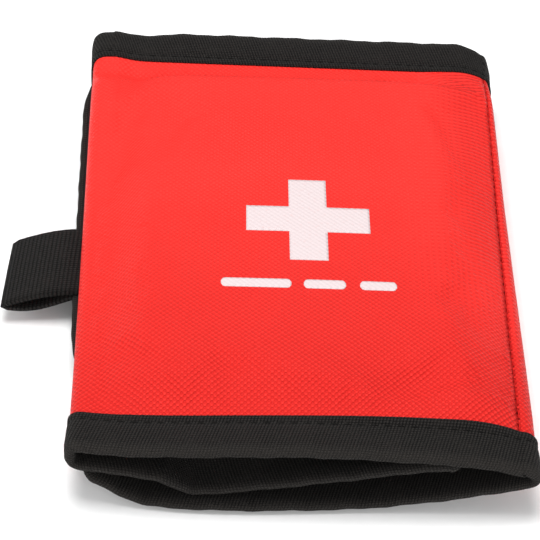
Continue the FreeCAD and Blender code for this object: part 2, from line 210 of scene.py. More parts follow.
def fold_point(angle, y, hinge_x, tip_x, upper, lower, power=1.0):
    """Half an ellipse from the upper panel (angle 0) to the lower one (angle pi); power < 1 squares it."""
    angle, y = np.broadcast_arrays(np.asarray(angle, float), np.asarray(y, float))
    x0 = hinge_x(y)
    top, bottom = upper(x0, y), lower(x0, y)
    middle, half, reach = (top + bottom) / 2, (top - bottom) / 2, tip_x - x0
    across, up = np.abs(np.sin(angle)), np.cos(angle)
    x = x0 + reach * across ** power
    point = np.stack([x, y - puffed_out(x, y), middle + half * np.sign(up) * np.abs(up) ** power], -1)
    out_x = half * across ** (2 - power) * np.sign(reach)
    out_z = np.abs(reach) * np.sign(up) * np.abs(up) ** (2 - power)
    normal = np.stack([out_x, 0 * y, out_z], -1)
    return point, normal / np.linalg.norm(normal, axis=-1, keepdims=True)


def left_edge(y):
    return LEFT + 0 * y


def left_point(angle, y):
    """The left fold: nearly square, and a little flatter toward its far end."""
    tip = LEFT_TIP + LEG - 1.3 * toward_far(y)
    return fold_point(angle, y, left_edge, tip, cover_height, inner_height, power=0.55)


def right_point(angle, y):
    """The right fold: sharper at its far end, with a lip beside the seam's groove."""
    power = 1 + 0.5 * far_part(y, 24, 20)
    point, normal = fold_point(angle, y, seam_x, FOLD_TIP, cover_height, flap_height, power)
    reach = FOLD_TIP - seam_x(y)
    lip = GROOVE * (1 - swell(reach * angle / 0.9)) * np.clip(np.cos(angle), 0, 1) * off_tape(y)
    point[..., 2] += lip
    return point, normal


# ---------------------------------------------------------------- meshes
class Shape:
    """Grids of points gathered into one mesh. Points are in millimetres, UVs in metres along the cloth."""

    def __init__(self):
        self.points, self.faces, self.uvs, self.slots = [], [], [], []

    def grid(self, points, uv=None, wrap=False, slot=0, flip=False, keep=None):
        rows, cols = points.shape[:2]
        uv = lengths(points) if uv is None else uv
        start = len(self.points)
        self.points += [tuple(p) for p in points.reshape(-1, 3)]
        self.uvs += [tuple(p) for p in uv.reshape(-1, 2)]
        for r in range(rows - 1):
            for c in range(cols if wrap else cols - 1):
                if keep is not None and not keep[r, c]:
                    continue
                d = (c + 1) % cols
                face = (start + r * cols + c, start + (r + 1) * cols + c,
                        start + (r + 1) * cols + d, start + r * cols + d)
                self.faces.append(face[::-1] if flip else face)
                self.slots.append(slot)
        return self

    def join(self, other):
        start = len(self.points)
        self.faces += [tuple(start + i for i in face) for face in other.faces]
        self.points += other.points
        self.uvs += other.uvs
        self.slots += other.slots
        return self

    def piece(self, name, *materials):
        mesh = bpy.data.meshes.new(name)
        mesh.from_pydata([(x * MM, y * MM, z * MM) for x, y, z in self.points], [], self.faces)
        layer = mesh.uv_layers.new(name="UVMap")
        index = np.empty(len(mesh.loops), np.int32)
        mesh.loops.foreach_get("vertex_index", index)
        layer.data.foreach_set("uv", np.array(self.uvs, np.float32)[index].ravel())
        for m in materials:
            mesh.materials.append(m)
        mesh.polygons.foreach_set("material_index", np.array(self.slots, np.int32))
        mesh.polygons.foreach_set("use_smooth", np.ones(len(mesh.polygons), bool))
        mesh.validate()
        piece = bpy.data.objects.new(name, mesh)
        bpy.context.scene.collection.objects.link(piece)
        return piece


def lengths(points):
    """UVs in metres: the length run along each direction of a grid, from the middle of the grid."""
    rows, cols = points.shape[:2]
    along = np.linalg.norm(np.diff(points, axis=0), axis=-1)
    across = np.linalg.norm(np.diff(points, axis=1), axis=-1)
    v = np.vstack([np.zeros((1, cols)), np.cumsum(along, 0)])
    u = np.hstack([np.zeros((rows, 1)), np.cumsum(across, 1)])
    return np.stack([u - u[:, [cols // 2]], v - v[[rows // 2], :]], -1) * MM


def thicken(piece, thickness):
    """Gives a sheet its thickness, towards its inner side."""
    solid = piece.modifiers.new("thickness", "SOLIDIFY")
    solid.thickness = thickness * MM
    solid.offset = -1
    return piece


def spaced(start, end, step):
    return np.linspace(start, end, max(2, int(round(abs(end - start) / step)) + 1))


CLOTH_INSET = 1.2  # how far inside the bound rims the cloth ends
ROWS = spaced(NEAR + CLOTH_INSET, FAR - CLOTH_INSET, 1.3)
LEFT_TURN = np.linspace(math.pi / 2, 0, 9)


def cover_grid(at_rim=0.0, under_crown=0.0, step=1.3):
    """The cover's cloth, from the left fold's outermost line to the right seam, or a lining inside it."""
    y = ROWS[:, None]
    inward = (at_rim + (under_crown - at_rim) * off_tape(np.abs(y) + 3))[..., None]
    turn, turn_out = left_point(LEFT_TURN[None, :-1], y)
    across = np.linspace(0, 1, int((SEAM_NEAR - LEFT) / step))[None, :]
    flat, flat_out = panel_point(cover_height, 1, LEFT + (seam_x(y) - LEFT) * across, y)
    return np.hstack([turn - inward * turn_out, flat - inward * flat_out])


def fold_grid(point, start, end, inward):
    at, out = point(np.linspace(start, end, 13)[None, :], ROWS[:, None])
    return at - inward * out


def end_x(end, toward, y, inset):
    """Where a free end with round corners lies at y."""
    into = np.clip(np.abs(y) - (FAR - CORNER), 0, CORNER - inset)
    return end + toward * (CORNER - np.sqrt((CORNER - inset) ** 2 - into ** 2))


def panel_grid(height, end, toward, start, inward, step=1.6):
    """A flap's cloth or lining, from its free end to its hinge line."""
    y = ROWS[:, None]
    free = end_x(end, toward, y, CLOTH_INSET)
    across = np.linspace(0, 1, int(abs(end - start(0.0)) / step))[None, :]
    at, out = panel_point(height, -1, free + (start(y) - free) * across, y)
    return at - inward * out


# ---------------------------------------------------------------- materials
class Look:
    """A node material with a Principled shader; socket arithmetic is written as look.math("ADD", a, b)."""

    def __init__(self, name, roughness=0.6, **constants):
        self.material = bpy.data.materials.new(name)
        self.material.use_nodes = True
        self.tree = self.material.node_tree
        self.shader = self.tree.nodes["Principled BSDF"]
        self.shader.inputs["Roughness"].default_value = roughness
        for key, value in constants.items():
            self.shader.inputs[key.replace("_", " ")].default_value = value

    def node(self, kind, inputs=None, **settings):
        made = self.tree.nodes.new(kind)
        for key, value in settings.items():
            setattr(made, key, value)
        for key, value in (inputs or {}).items():
            self.feed(made.inputs[key], value)
        return made

    def feed(self, socket, value):
        if isinstance(value, bpy.types.NodeSocket):
            self.tree.links.new(value, socket)
        else:
            socket.default_value = value

    def math(self, operation, a, b=0.0):
        return self.node("ShaderNodeMath", {0: a, 1: b}, operation=operation).outputs[0]

    def where(self, kind):
        """The first two coordinates: "UV" runs along the cloth, "Object" is the place in the frame."""
        parts = self.node("ShaderNodeSeparateXYZ", {0: self.node("ShaderNodeTexCoord").outputs[kind]})
        return parts.outputs[0], parts.outputs[1]

    def noise(self, scale_mm, detail=3.0, roughness=0.55, stretch=(1, 1, 1)):
        place = self.node("ShaderNodeTexCoord").outputs["Object"]
        per_metre = tuple(s / (scale_mm * MM) for s in stretch)
        mapped = self.node("ShaderNodeMapping", {0: place, 3: per_metre})
        inputs = {"Vector": mapped.outputs[0], "Scale": 1.0, "Detail": detail, "Roughness": roughness}
        return self.node("ShaderNodeTexNoise", inputs).outputs[0]

    def ramp(self, value, low, high, out_low=0.0, out_high=1.0):
        inputs = {0: value, 1: low, 2: high, 3: out_low, 4: out_high}
        return self.node("ShaderNodeMapRange", inputs).outputs[0]

    def mix(self, amount, a, b):
        made = self.node("ShaderNodeMix", data_type="RGBA")
        for socket, value in zip([made.inputs[0], made.inputs[6], made.inputs[7]], [amount, a, b]):
            self.feed(socket, value)
        return made.outputs[2]

    def finish(self, colour=None, height=None, depth_mm=0.1, rough=None):
        if colour is not None:
            self.feed(self.shader.inputs["Base Color"], colour)
        if rough is not None:
            self.feed(self.shader.inputs["Roughness"], rough)
        if height is not None:
            relief = {"Height": height, "Distance": depth_mm * MM, "Strength": 1.0}
            bump = self.node("ShaderNodeBump", relief)
            self.tree.links.new(bump.outputs[0], self.shader.inputs["Normal"])
        return self.material


def rgb(r, g, b):
    return (r, g, b, 1.0)


def wave(look, along, pitch_mm):
    """|sin| over one thread per pitch."""
    turned = look.math("MULTIPLY", along, math.pi / (pitch_mm * MM))
    return look.math("ABSOLUTE", look.math("SINE", turned))


def weave(look, pitch_mm):
    """Plain weave, its weft a little finer than its warp. Gives the crossings and the weft rows, 0 to 1."""
    u, v = look.where("UV")
    turns = math.pi / (pitch_mm * MM)
    weft = look.math("SINE", look.math("MULTIPLY", v, turns * 1.08))
    crossings = look.math("MULTIPLY", look.math("SINE", look.math("MULTIPLY", u, turns)), weft)
    return look.ramp(crossings, -0.6, 0.85), look.ramp(weft, -0.9, 0.9)


def oxford(name, bright, dark, pitch_mm, depth_mm):
    """Coarse cloth: pulled into weft ribs at its right side. Its relief is deeper toward the near side and
    on the right, and there the gaps between its threads carry more painted shade.
    """
    look = Look(name, 0.5, Sheen_Weight=0.01, Sheen_Roughness=0.4, Specular_IOR_Level=0.12)
    x, y = look.where("Object")
    crossings, rows = weave(look, pitch_mm)
    ribbed = look.math("MULTIPLY", look.ramp(x, 25 * MM, 46 * MM, 0.0, 0.8),
                       look.ramp(y, -50 * MM, -10 * MM))
    pattern = look.math("ADD", look.math("MULTIPLY", crossings, look.math("SUBTRACT", 1.0, ribbed)),
                        look.math("MULTIPLY", rows, ribbed))
    # painted shade: the gaps between threads are darker toward the near side and on the ribbed right side;
    # the same factor deepens the relief there
    relief_and_shade = look.math("MAXIMUM", look.ramp(y, -60 * MM, 15 * MM, 1.0, 0.45), ribbed)
    raised = look.math("MULTIPLY", pattern, relief_and_shade)
    cloudy = look.noise(22, 2.0)
    strand = look.noise(0.35, 2.0)
    # painted shade in the gaps between threads, stronger toward the near side and on the ribbed right side
    base = look.mix(look.math("MULTIPLY", look.math("SUBTRACT", 1.0, pattern), relief_and_shade), bright, dark)
    retoned = look.mix(look.ramp(cloudy, 0.35, 0.7, 0.0, 0.16), base, dark)
    colour = look.mix(look.ramp(strand, 0.3, 0.75, 0.0, 0.14), retoned, bright)
    height = look.math("ADD", raised, look.math("MULTIPLY", strand, 0.25))
    return look.finish(colour, height, depth_mm, look.ramp(strand, 0.2, 0.8, 0.42, 0.6))


DUST = rgb(0.026, 0.022, 0.02)
LINT = rgb(0.05, 0.044, 0.039)
# colour of the band along a tape's rim: partly wear, partly a painted highlight
RIM_WEAR_AND_HIGHLIGHT = rgb(0.045, 0.04, 0.036)


def grosgrain(name, light, dark, rib_mm, row_mm, depth_mm, slant=0.0, rim_mm=None):
    """Woven tape: ribs in rows of small knots, a dusty nap and loose lint, and a lighter band along its
    rim, partly wear and partly a painted highlight of the lit rim.
    """
    look = Look(name, 0.8, Sheen_Weight=0.03, Sheen_Roughness=0.5, Specular_IOR_Level=0.08)
    u, v = look.where("UV")
    across_ribs = look.math("ADD", u, look.math("MULTIPLY", v, slant))
    across_rows = look.math("ADD", v, look.math("MULTIPLY", look.noise(4, 2.0), 0.4 * MM))
    rib, row = wave(look, across_ribs, rib_mm), wave(look, across_rows, row_mm)
    nap = look.noise(0.3, 3.0, 0.7)
    patches = look.noise(6, 3.0)
    specks = look.noise(0.7, 2.0, 0.8, (1, 1.6, 1))
    knots = look.math("MULTIPLY", rib, look.math("ADD", look.math("MULTIPLY", row, 0.65), 0.35))
    height = look.math("ADD", knots, look.math("MULTIPLY", nap, 1.1))
    tone = look.mix(look.ramp(knots, 0.25, 0.9), dark, light)
    dusty = look.ramp(look.math("MULTIPLY", nap, patches), 0.22, 0.46, 0.0, 0.5)
    linty = look.ramp(specks, 0.56, 0.74, 0.0, 0.6)
    colour = look.mix(linty, look.mix(dusty, tone, DUST), LINT)
    if rim_mm is not None:
        # painted highlight: the band along the rim is lighter, partly wear and partly a painted highlight
        # of the lit rim
        from_rim = look.math("ABSOLUTE", look.math("SUBTRACT", v, rim_mm * MM))
        near_rim = look.ramp(from_rim, 0.5 * MM, 3.0 * MM, 0.6, 0.0)
        retoned = look.math("MULTIPLY", near_rim, look.ramp(nap, 0.3, 0.7, 0.4, 1.0))
        colour = look.mix(retoned, colour, RIM_WEAR_AND_HIGHLIGHT)
    return look.finish(colour, height, depth_mm)


def thread(name, colour, light):
    look = Look(name, 0.7, Specular_IOR_Level=0.08)
    twist = look.noise(0.3, 2.0, 0.6, (1, 3, 1))
    return look.finish(look.mix(look.ramp(twist, 0.35, 0.7), colour, light), twist, 0.08)


def speckled(name, low, high, grain_mm, depth_mm, roughness, **constants):
    """A surface whose colour and height follow one grain: paper, moulded plastic, brushed loop tape."""
    look = Look(name, roughness, **constants)
    grain = look.noise(grain_mm, 4.0, 0.6)
    patches = look.noise(grain_mm * 30, 2.0)
    colour = look.mix(look.ramp(look.math("MULTIPLY", grain, patches), 0.15, 0.4), low, high)
    shine = look.ramp(patches, 0.3, 0.7, roughness * 0.85, roughness * 1.1)
    return look.finish(colour, grain, depth_mm, shine)


def hooks(name):
    look = Look(name, 0.45, Specular_IOR_Level=0.5)
    u, v = look.where("UV")
    tips = look.math("MULTIPLY", wave(look, u, 1.4), wave(look, v, 1.8))
    height = look.math("POWER", tips, 3.0)
    return look.finish(look.mix(height, rgb(0.012, 0.012, 0.012), rgb(0.07, 0.07, 0.07)), height, 0.5)


def metal(name, colour, dark, stretch, roughness):
    look = Look(name, roughness, Metallic=1.0)
    brushed = look.noise(0.8, 3.0, 0.6, stretch)
    smudge = look.noise(9, 2.0)
    shade = look.mix(look.ramp(brushed, 0.3, 0.7), dark, colour)
    return look.finish(shade, brushed, 0.02, look.ramp(smudge, 0.3, 0.7, roughness * 0.8, roughness * 1.3))


def film(name, tint, alpha):
    look = Look(name, 0.18, Alpha=alpha, Specular_IOR_Level=0.6, Coat_Weight=0.3)
    ripple = look.noise(9, 3.0)
    haze = look.noise(2.2, 2.0)
    colour = look.mix(look.ramp(haze, 0.3, 0.7), tint, rgb(0.97, 0.98, 1.0))
    return look.finish(colour, ripple, 0.5, look.ramp(haze, 0.3, 0.7, 0.12, 0.28))


def gauze_look(name, light, dark, pitch_mm):
    look = Look(name, 0.9, Sheen_Weight=0.15)
    u, v = look.where("UV")
    threads = look.math("MAXIMUM", wave(look, u, pitch_mm), wave(look, v, pitch_mm))
    open_holes = look.math("POWER", threads, 2.0)
    fluff = look.noise(0.6, 3.0)
    height = look.math("ADD", open_holes, fluff)
    return look.finish(look.mix(look.ramp(open_holes, 0.2, 0.9), dark, light), height, 0.12)


def wrapper(name, paper, band, half_mm):
    """A paper sachet with one plain coloured band across its middle and fine pressed lines."""
    look = Look(name, 0.5, Specular_IOR_Level=0.4)
    u, v = look.where("UV")
    from_middle = look.math("ABSOLUTE", v)
    printed = look.ramp(from_middle, half_mm * MM, (half_mm + 0.4) * MM, 1.0, 0.0)
    edge_line = look.ramp(look.math("ABSOLUTE", look.math("SUBTRACT", from_middle, (half_mm + 2) * MM)),
                          0.3 * MM, 0.5 * MM, 1.0, 0.0)
    pressed = look.math("MULTIPLY", wave(look, u, 1.3), wave(look, v, 1.3))
    grain = look.noise(0.6, 3.0)
    blank = look.mix(look.ramp(grain, 0.3, 0.7), rgb(*(0.88 * c for c in paper)), rgb(*paper))
    colour = look.mix(look.math("MAXIMUM", printed, edge_line), blank, rgb(*band))
    height = look.math("ADD", grain, look.math("MULTIPLY", pressed, 0.6))
    return look.finish(colour, height, 0.06, look.ramp(grain, 0.3, 0.7, 0.42, 0.58))


WEAVE = 0.8  # thread pitch of the red cloth
TAPE_RIM = 12.6  # how far round a folded tape its rim lies
RED = oxford("red_oxford", rgb(0.9, 0.036, 0.028), rgb(0.6, 0.011, 0.009), WEAVE, 0.46)
LINING = oxford("lining_fabric", rgb(0.5, 0.02, 0.018), rgb(0.25, 0.008, 0.008), 0.6, 0.08)
BLACK = grosgrain("black_tape", rgb(0.031, 0.0275, 0.025), rgb(0.001, 0.001, 0.001), 0.8, 0.62, 0.55,
                  slant=0.3, rim_mm=TAPE_RIM)
WEBBING = grosgrain("black_webbing", rgb(0.023, 0.0215, 0.02), rgb(0.0006, 0.0006, 0.0006),
                    1.1, 0.8, 0.8)
BLACK_THREAD = thread("black_thread", rgb(0.003, 0.003, 0.003), rgb(0.012, 0.011, 0.01))
RED_THREAD = thread("red_thread", rgb(0.45, 0.01, 0.009), rgb(0.7, 0.018, 0.015))
STEEL = metal("steel", rgb(0.72, 0.73, 0.75), rgb(0.5, 0.51, 0.53), (1, 9, 1), 0.28)
PLASTIC = speckled("red_plastic", rgb(0.5, 0.02, 0.018), rgb(0.66, 0.03, 0.026), 0.5, 0.02, 0.3,
                   Coat_Weight=0.2)
CLEAR = film("clear_film", rgb(0.85, 0.9, 0.95), 0.22)
BAG = film("clear_bag", rgb(0.35, 0.55, 0.8), 0.75)
HOOK = hooks("hook_tape")
LOOP = speckled("loop_tape", rgb(0.008, 0.008, 0.008), rgb(0.035, 0.034, 0.033), 0.25, 0.4, 0.95,
                Sheen_Weight=0.3)
PAPER = speckled("paper", rgb(0.46, 0.455, 0.44), rgb(0.55, 0.55, 0.54), 0.3, 0.03, 0.85)
PLASTER = wrapper("plaster_wrapper", (0.52, 0.52, 0.5), (0.03, 0.16, 0.3), 9)
SACHET = wrapper("foil_sachet", (0.45, 0.49, 0.53), (0.02, 0.22, 0.2), 7)
GAUZE = gauze_look("gauze", rgb(0.56, 0.55, 0.52), rgb(0.36, 0.355, 0.33), 1.3)
WRAP = gauze_look("wrapped_cloth", rgb(0.53, 0.51, 0.46), rgb(0.38, 0.365, 0.33), 0.7)
FOIL = metal("silver_foil", rgb(0.82, 0.83, 0.84), rgb(0.6, 0.61, 0.62), (1, 1, 1), 0.22)


def ink():
    look = Look("white_ink", 0.6, Specular_IOR_Level=0.3)
    raised = weave(look, WEAVE)[0]
    thin = look.math("MULTIPLY", look.noise(1.2, 3.0), look.ramp(raised, 0.0, 1.0, 1.0, 0.75))
    colour = look.mix(look.ramp(thin, 0.5, 0.75, 0.0, 0.5), rgb(0.635, 0.54, 0.545), rgb(0.63, 0.41, 0.4))
    return look.finish(colour, raised, 0.08)


INK = ink()


# ---------------------------------------------------------------- placing pieces
def settle(piece, body, nodes=()):
    """A piece that rides on one body."""
    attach(piece, body)
    if nodes:
        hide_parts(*nodes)
    return piece


def bend_right(piece, slot, *nodes):
    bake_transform(piece)
    if nodes:
        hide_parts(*nodes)


def bend_left(piece, slot, *nodes):
    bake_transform(piece)
    if nodes:
        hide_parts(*nodes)


# ---------------------------------------------------------------- bound rims
LAP = 0.9  # how far a tape runs on under the next one at a fold
# Section of the folded tape: distance in from the rim, and height over the outer cloth.
TAPE_SECTION = [
    (TAPE, -0.3), (TAPE, 0.35), (TAPE - 0.3, 0.55), (TAPE - 1.4, 0.5), (TAPE - 2.1, 0.22),
    (TAPE - 2.8, 0.5), (7.4, 0.62), (5.2, 0.66), (3.2, 0.74), (1.6, 0.62), (0.6, 0.1), (0.1, -0.6),
    (0.1, -1.3), (0.6, -1.9), (1.8, -2.25), (4.0, -2.15), (7.0, -2.0), (TAPE - 2.1, -1.7),
    (TAPE - 0.4, -1.9), (TAPE, -1.6),
]
STITCH_LINE = TAPE - 2.1  # how far inside the rim the tapes are stitched
STITCH_HEIGHTS = (0.3, -1.85)  # over the outer cloth, and on the tape's inner leg
STITCH_PITCH = 3.1


def tape(at, along):
    """A folded tape swept along a rim, with its stitches. at(s, d): point and normal, d inside the rim."""
    section = np.array(TAPE_SECTION)
    s, d, n = along[:, None], section[None, :, 0], section[None, :, 1]
    point, normal = at(s, d)
    spine = at(s, np.zeros((1, 1)))[0]
    run = np.concatenate([[0], np.cumsum(np.linalg.norm(np.diff(spine[:, 0], axis=0), axis=-1))])
    lump = 0.14 * np.sin(run * 0.41) + 0.1 * np.sin(run * 0.97 + 1.3)
    rimward = np.clip(1 - section[:, 0] / TAPE, 0, 1)
    points = point + normal * (n + lump[:, None] * rimward[None, :])[..., None]
    girth = np.concatenate([[0], np.cumsum(np.linalg.norm(np.diff(section, axis=0), axis=-1))])
    uv = np.stack(np.broadcast_arrays(run[:, None], girth[None, :]), -1) * MM
    shape = Shape().grid(points, uv, wrap=True)
    for height in STITCH_HEIGHTS:
        stitch_row(shape, at, along, run, STITCH_LINE, height, STITCH_PITCH, slot=1)
    return shape


def stitch_row(shape, at, along, run, inset, height, pitch, slot, width=0.42):
    """Sewn stitches: short rounded bars that dip at both ends, with a gap between them."""
    count = max(1, int(run[-1] / pitch))
    sides = 6
    turn = np.linspace(0, 2 * math.pi, sides, endpoint=False)
    for i in range(count):
        where = (i + 0.5) * run[-1] / count + np.linspace(-0.4, 0.4, 5) * pitch
        s = np.interp(where, run, along)[:, None]
        centre, up = at(s, np.array([[inset]]))
        centre, up = centre[:, 0], up[:, 0]
        ahead = centre[-1] - centre[0]
        across = np.cross(ahead / np.linalg.norm(ahead), up)
        sink = np.array([-0.35, -0.02, 0.06, -0.02, -0.35])[:, None]
        thick = np.array([0.3, 0.9, 1.0, 0.9, 0.3])[:, None, None] * width / 2
        ring = (np.cos(turn)[None, :, None] * across[:, None, :]
                + np.sin(turn)[None, :, None] * up[:, None, :])
        lifted = height + sink * np.sign(height)
        shape.grid((centre + up * lifted)[:, None, :] + ring * thick, wrap=True, slot=slot)


def on_rim(height, side, y_rim):
    """A straight near or far rim of a panel, run along x."""
    inward = 1 if y_rim < 0 else -1
    return lambda s, d: panel_point(height, side, s + 0 * d, y_rim + inward * d + 0 * s)


def on_fold(point, y_rim):
    inward = 1 if y_rim < 0 else -1
    return lambda s, d: point(s + 0 * d, y_rim + inward * d + 0 * s)


def on_end(height, end, toward):
    """A free end and its two round corners. s runs in millimetres along the rim, 0 in its middle."""
    straight = FAR - CORNER
    quarter = CORNER * math.pi / 2

    def at(s, d):
        s, d = np.broadcast_arrays(s, d)
        turned = np.clip(np.abs(s) - straight, 0, quarter) / CORNER
        beyond = np.clip(np.abs(s) - straight - quarter, 0, None)
        y = np.minimum(np.abs(s), straight) + (CORNER - d) * np.sin(turned)
        x = end + toward * (CORNER - (CORNER - d) * np.cos(turned) + beyond)
        x = np.where(np.abs(s) <= straight, end + toward * d, x)
        return panel_point(height, -1, x, y * np.sign(s + 1e-9))
    return at


END_RUN = FAR - CORNER + CORNER * math.pi / 2
RIM_STEP = 1.4


def black(shape, name):
    return shape.piece(name, BLACK, BLACK_THREAD)


for side, y_rim in {"near": NEAR, "far": FAR}.items():
    seam_end = seam_x(y_rim)
    left_rim, right_rim = on_fold(left_point, y_rim), on_fold(right_point, y_rim)
    cover_run = spaced(LEFT - LAP, seam_end + LAP, RIM_STEP)
    cover_tape = tape(on_rim(cover_height, 1, y_rim), cover_run)
    cover_tape.join(tape(left_rim, np.linspace(math.pi / 2, 0, 14)))
    settle(black(cover_tape, f"cover_{side}_tape"), COVER, [f"cover_{side}_binding"])
    bend_right(black(tape(right_rim, np.linspace(0, math.pi, 26)), f"right_fold_{side}_tape"),
               "black_tape", f"right_fold_{side}_binding")
    bend_left(black(tape(left_rim, np.linspace(math.pi / 2, math.pi, 14)), f"left_fold_{side}_tape"),
              "black_tape", f"left_fold_{side}_binding")
    for name, height, start, end, body in (
        ("flap", flap_height, seam_end + LAP, FLAP_END + CORNER, FLAP),
        ("inner", inner_height, LEFT - LAP, INNER_END - CORNER, INNER),
    ):
        panel_tape = tape(on_rim(height, -1, y_rim), spaced(start, end, RIM_STEP))
        settle(black(panel_tape, f"{name}_{side}_tape"), body, [f"{name}_{side}_binding"])

for name, height, end, toward, body in (
    ("flap", flap_height, FLAP_END, 1, FLAP),
    ("inner", inner_height, INNER_END, -1, INNER),
):
    end_tape = tape(on_end(height, end, toward), spaced(-END_RUN, END_RUN, 1.2))
    settle(black(end_tape, f"{name}_end_tape"), body, [f"{name}_end_binding"])


# ---------------------------------------------------------------- panels
def cloth(name, points, material, thickness, flip=False):
    return thicken(Shape().grid(points, flip=flip).piece(name, material), thickness)


RIGHT_TURN = (0, math.pi)
LOWER_LEFT_TURN = (math.pi / 2, math.pi)
SINK = 0.2  # how far the simulated cloth may sink
LINING_IN = 1.5  # how far inside the outer cloth the lining lies
CROWN_IN = 1.9  # the same under the crown, which the simulation moves
cover_cloth = cloth("cover_cloth", cover_grid(), RED, 0.5, flip=True)
grids = {
    "right_fold": lambda inward: fold_grid(right_point, *RIGHT_TURN, inward),
    "left_fold": lambda inward: fold_grid(left_point, *LOWER_LEFT_TURN, inward),
    "flap": lambda inward: panel_grid(flap_height, FLAP_END, 1, seam_x, inward),
    "inner": lambda inward: panel_grid(inner_height, INNER_END, -1, left_edge, inward),
}
under_cover = cover_grid(LINING_IN, CROWN_IN)
outers, linings = {}, {"cover": cloth("cover_inner_lining", under_cover, LINING, 0.3)}
sheets = [(linings["cover"], under_cover)]
for place, grid_of in grids.items():
    turned = place in ("right_fold", "inner")
    outer, inner = grid_of(0.0), grid_of(LINING_IN)
    outers[place] = cloth(f"{place}_cloth", outer, RED, 0.5, flip=turned)
    linings[place] = cloth(f"{place}_inner_lining", inner, LINING, 0.3, flip=not turned)
    sheets += [(outers[place], outer), (linings[place], inner)]


def puff(piece, pinned, pressure, relief_and_shade, cap_mm, frames=20):
    """Cloth simulation under pressure from inside. Pinned points stay, and none moves past the cap."""
    mesh, scene = piece.data, bpy.context.scene
    start = np.empty(len(mesh.vertices) * 3)
    mesh.vertices.foreach_get("co", start)
    start = start.reshape(-1, 3)
    group = piece.vertex_groups.new(name="pinned")
    group.add([int(i) for i in np.flatnonzero(pinned(start / MM))], 1.0, "REPLACE")
    sim = piece.modifiers.new("cloth", "CLOTH")
    sim.settings.vertex_group_mass = "pinned"
    sim.settings.use_pressure = True
    sim.settings.uniform_pressure_force = pressure
    sim.settings.shrink_min = sim.settings.shrink_max = -relief_and_shade
    sim.settings.bending_stiffness = 0.2
    sim.settings.effector_weights.gravity = 0
    sim.collision_settings.use_collision = False
    sim.point_cache.frame_end = frames
    while piece.modifiers[0] != sim:
        bpy.context.view_layer.objects.active = piece
        bpy.ops.object.modifier_move_up(modifier=sim.name)
    others = [m for m in piece.modifiers if m != sim]
    for m in others:
        m.show_viewport = False
    for at in range(1, frames + 1):
        scene.frame_set(at)
    settled = np.empty_like(start).ravel()
    graph = bpy.context.evaluated_depsgraph_get()
    piece.evaluated_get(graph).data.vertices.foreach_get("co", settled)
    move = settled.reshape(-1, 3) - start
    outward = np.empty_like(start).ravel()
    mesh.vertices.foreach_get("normal", outward)
    outward = outward.reshape(-1, 3)
    sunk = np.minimum(0, (move * outward).sum(1, keepdims=True) + SINK * MM)
    move -= sunk * outward
    far = np.linalg.norm(move, axis=1, keepdims=True)
    move *= np.minimum(1, cap_mm * MM / np.maximum(far, 1e-9))
    mesh.vertices.foreach_set("co", (start + move).ravel())
    mesh.update()
    piece.modifiers.remove(sim)
    piece.vertex_groups.remove(group)
    for m in others:
        m.show_viewport = True
    scene.frame_set(1)


def held_rim(points):
    x, y = points[:, 0], points[:, 1]
    return (np.abs(y) > FAR - TAPE - 1) | (x < LEFT) | (x > seam_x(y) - 1.0)


puff(cover_cloth, held_rim, pressure=3.0, relief_and_shade=0.012, cap_mm=1.6)
settle(cover_cloth, COVER, ["cover_outer"])
settle(linings["cover"], COVER, ["cover_lining"])
for place, body in (("flap", FLAP), ("inner", INNER)):
    settle(outers[place], body, [f"{place}_outer"])
    settle(linings[place], body, [f"{place}_lining"])
for place, bend in (("right_fold", bend_right), ("left_fold", bend_left)):
    bend(outers[place], "red_oxford", f"{place}_outer")
    bend(linings[place], "lining_fabric", f"{place}_lining")


# ---------------------------------------------------------------- seam beside the right fold
def seam_at(s, d):
    return panel_point(cover_height, 1, seam_x(s) - d, s)


seam_run = spaced(NEAR + TAPE, FAR - TAPE, 2.0)
seam = Shape()
stitch_row(seam, seam_at, seam_run, seam_run - seam_run[0], 0.1, 0.25, 3.2, slot=0)
settle(seam.piece("right_seam_stitches", RED_THREAD), COVER)


# ---------------------------------------------------------------- print, laid on the cloth
def surface_of(piece):
    graph = bpy.context.evaluated_depsgraph_get()
    return BVHTree.FromObject(piece, graph)


cover_surface = surface_of(cover_cloth)


def laid_on_cover(x, y, lift=0.12):
    z = np.empty(x.shape)
    for i in np.ndindex(x.shape):
        hit = cover_surface.ray_cast(Vector((x[i] * MM, y[i] * MM, 0.1)), Vector((0, 0, -1)))[0]
        z[i] = hit.z / MM + lift
    return np.stack([x, y, z], -1)


def printed(name, node, shape):
    settle(thicken(shape.piece(name, INK), 0.2), COVER, [node])


def cross_print(step=0.8):
    """A cross with equal arms: a square grid without its four corners."""
    low, high = corners("printed_cross")
    arm = (high[0] - low[0]) * 0.154  # half the width of an arm
    lines = []
    for start, end in zip(low[:2], high[:2]):
        middle = (start + end) / 2
        stops = [start, middle - arm, middle + arm, end]
        steps = np.concatenate([spaced(a, b, step) for a, b in zip(stops, stops[1:])])
        lines.append(np.unique(steps.round(6)))
    x, y = np.meshgrid(*lines)
    middle_x, middle_y = (low + high)[:2] / 2
    cell_x, cell_y = (x[:-1, :-1] + x[1:, 1:]) / 2, (y[:-1, :-1] + y[1:, 1:]) / 2
    keep = (np.abs(cell_x - middle_x) < arm) | (np.abs(cell_y - middle_y) < arm)
    shape = Shape().grid(laid_on_cover(x, y), np.stack([x, y], -1) * MM, flip=True, keep=keep)
    printed("cross_print", "printed_cross", shape)


BARS = ((0.0, 0.4), (0.47, 0.71), (0.79, 1.0))  # where each bar starts and ends, as shares of the line


